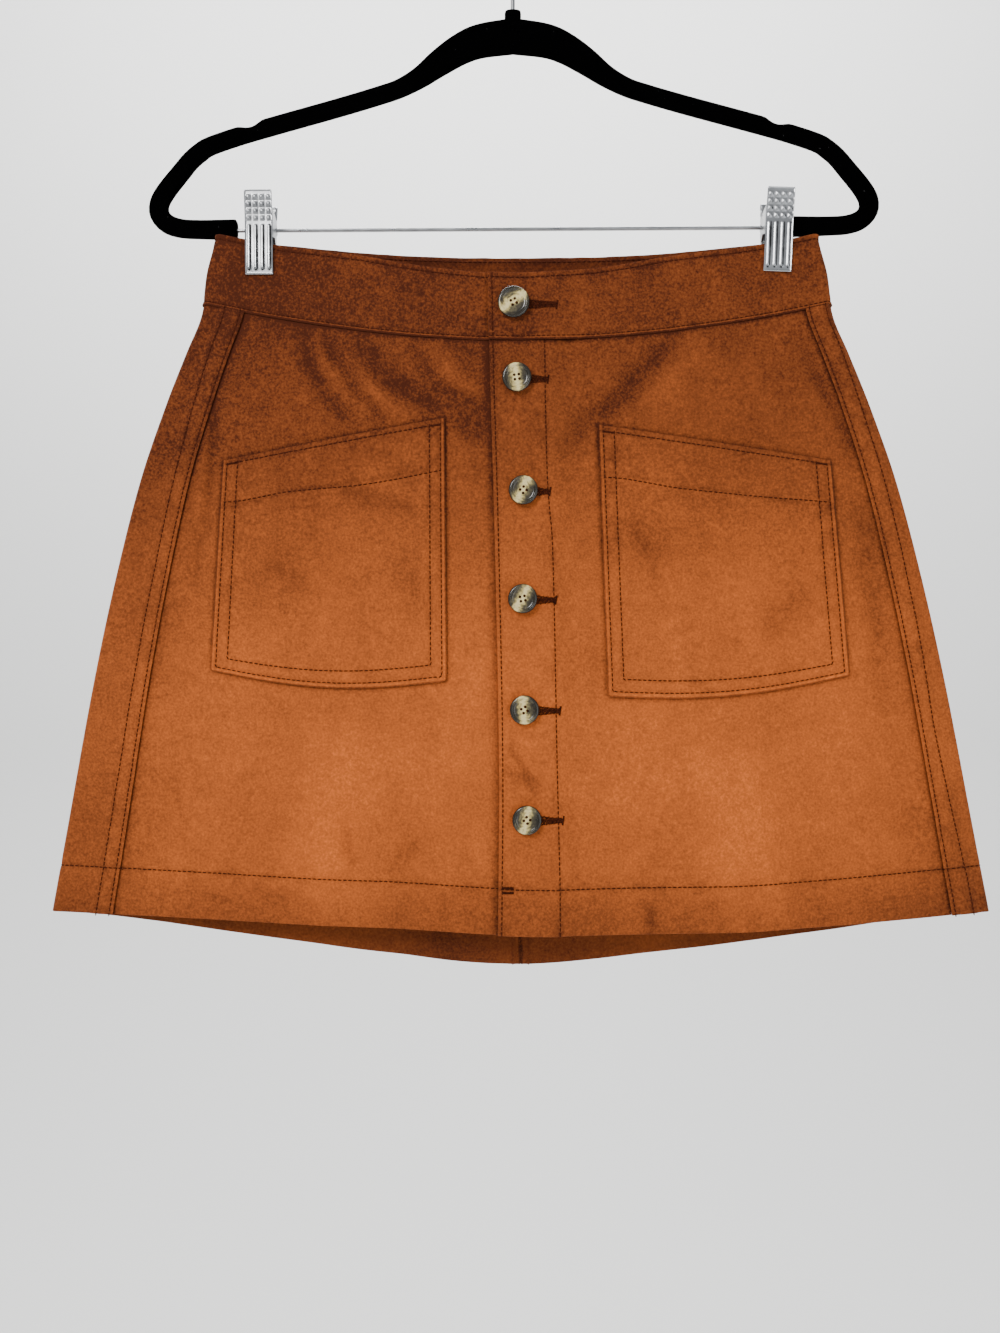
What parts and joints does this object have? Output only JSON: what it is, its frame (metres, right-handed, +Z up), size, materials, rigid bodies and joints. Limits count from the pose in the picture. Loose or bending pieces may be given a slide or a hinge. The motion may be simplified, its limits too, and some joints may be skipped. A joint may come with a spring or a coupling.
{
  "type": "mini skirt on clip hanger",
  "caption": "A-line mini skirt in brushed suede-like cloth with a button front and patch pockets, hung by its waistband from a flocked clip hanger.",
  "frame": {"origin": "inside of the hook's crown, where a rail carries the hanger", "axes": "+Z up, the front faces -Y, +X to the viewer's right"},
  "size_m": [0.5638, 0.0342, 0.6697],
  "materials": {
    "brushed_cloth": "rust brushed faux suede, short soft nap, matte with a soft sheen",
    "horn_button": "cream and tan horn-look resin with grey-brown swirls, polished",
    "black_flock": "black velvet flock over a moulded body, with a few specks of lint",
    "chrome": "bright plated wire and pressed steel",
    "spring_steel": "dark drawn spring wire"
  },
  "bodies": {
    "root": {"front_left_of_placket": "brushed_cloth", "front_right_of_placket": "brushed_cloth", "back_left": "brushed_cloth", "back_right": "brushed_cloth", "waistband_front_left": "brushed_cloth", "waistband_front_right": "brushed_cloth", "waistband_back_left": "brushed_cloth", "waistband_back_right": "brushed_cloth", "pocket_left": "brushed_cloth", "pocket_right": "brushed_cloth", "button_1": "horn_button", "button_2": "horn_button", "button_3": "horn_button", "button_4": "horn_button", "button_5": "horn_button", "button_6": "horn_button", "hanger_body": "black_flock", "hanger_bar": "chrome", "hanger_hook": "chrome", "clip_left_front_jaw": "chrome", "clip_left_back_jaw": "chrome", "clip_left_spring": "spring_steel", "clip_right_front_jaw": "chrome", "clip_right_back_jaw": "chrome", "clip_right_spring": "spring_steel"}
  },
  "joints": []
}
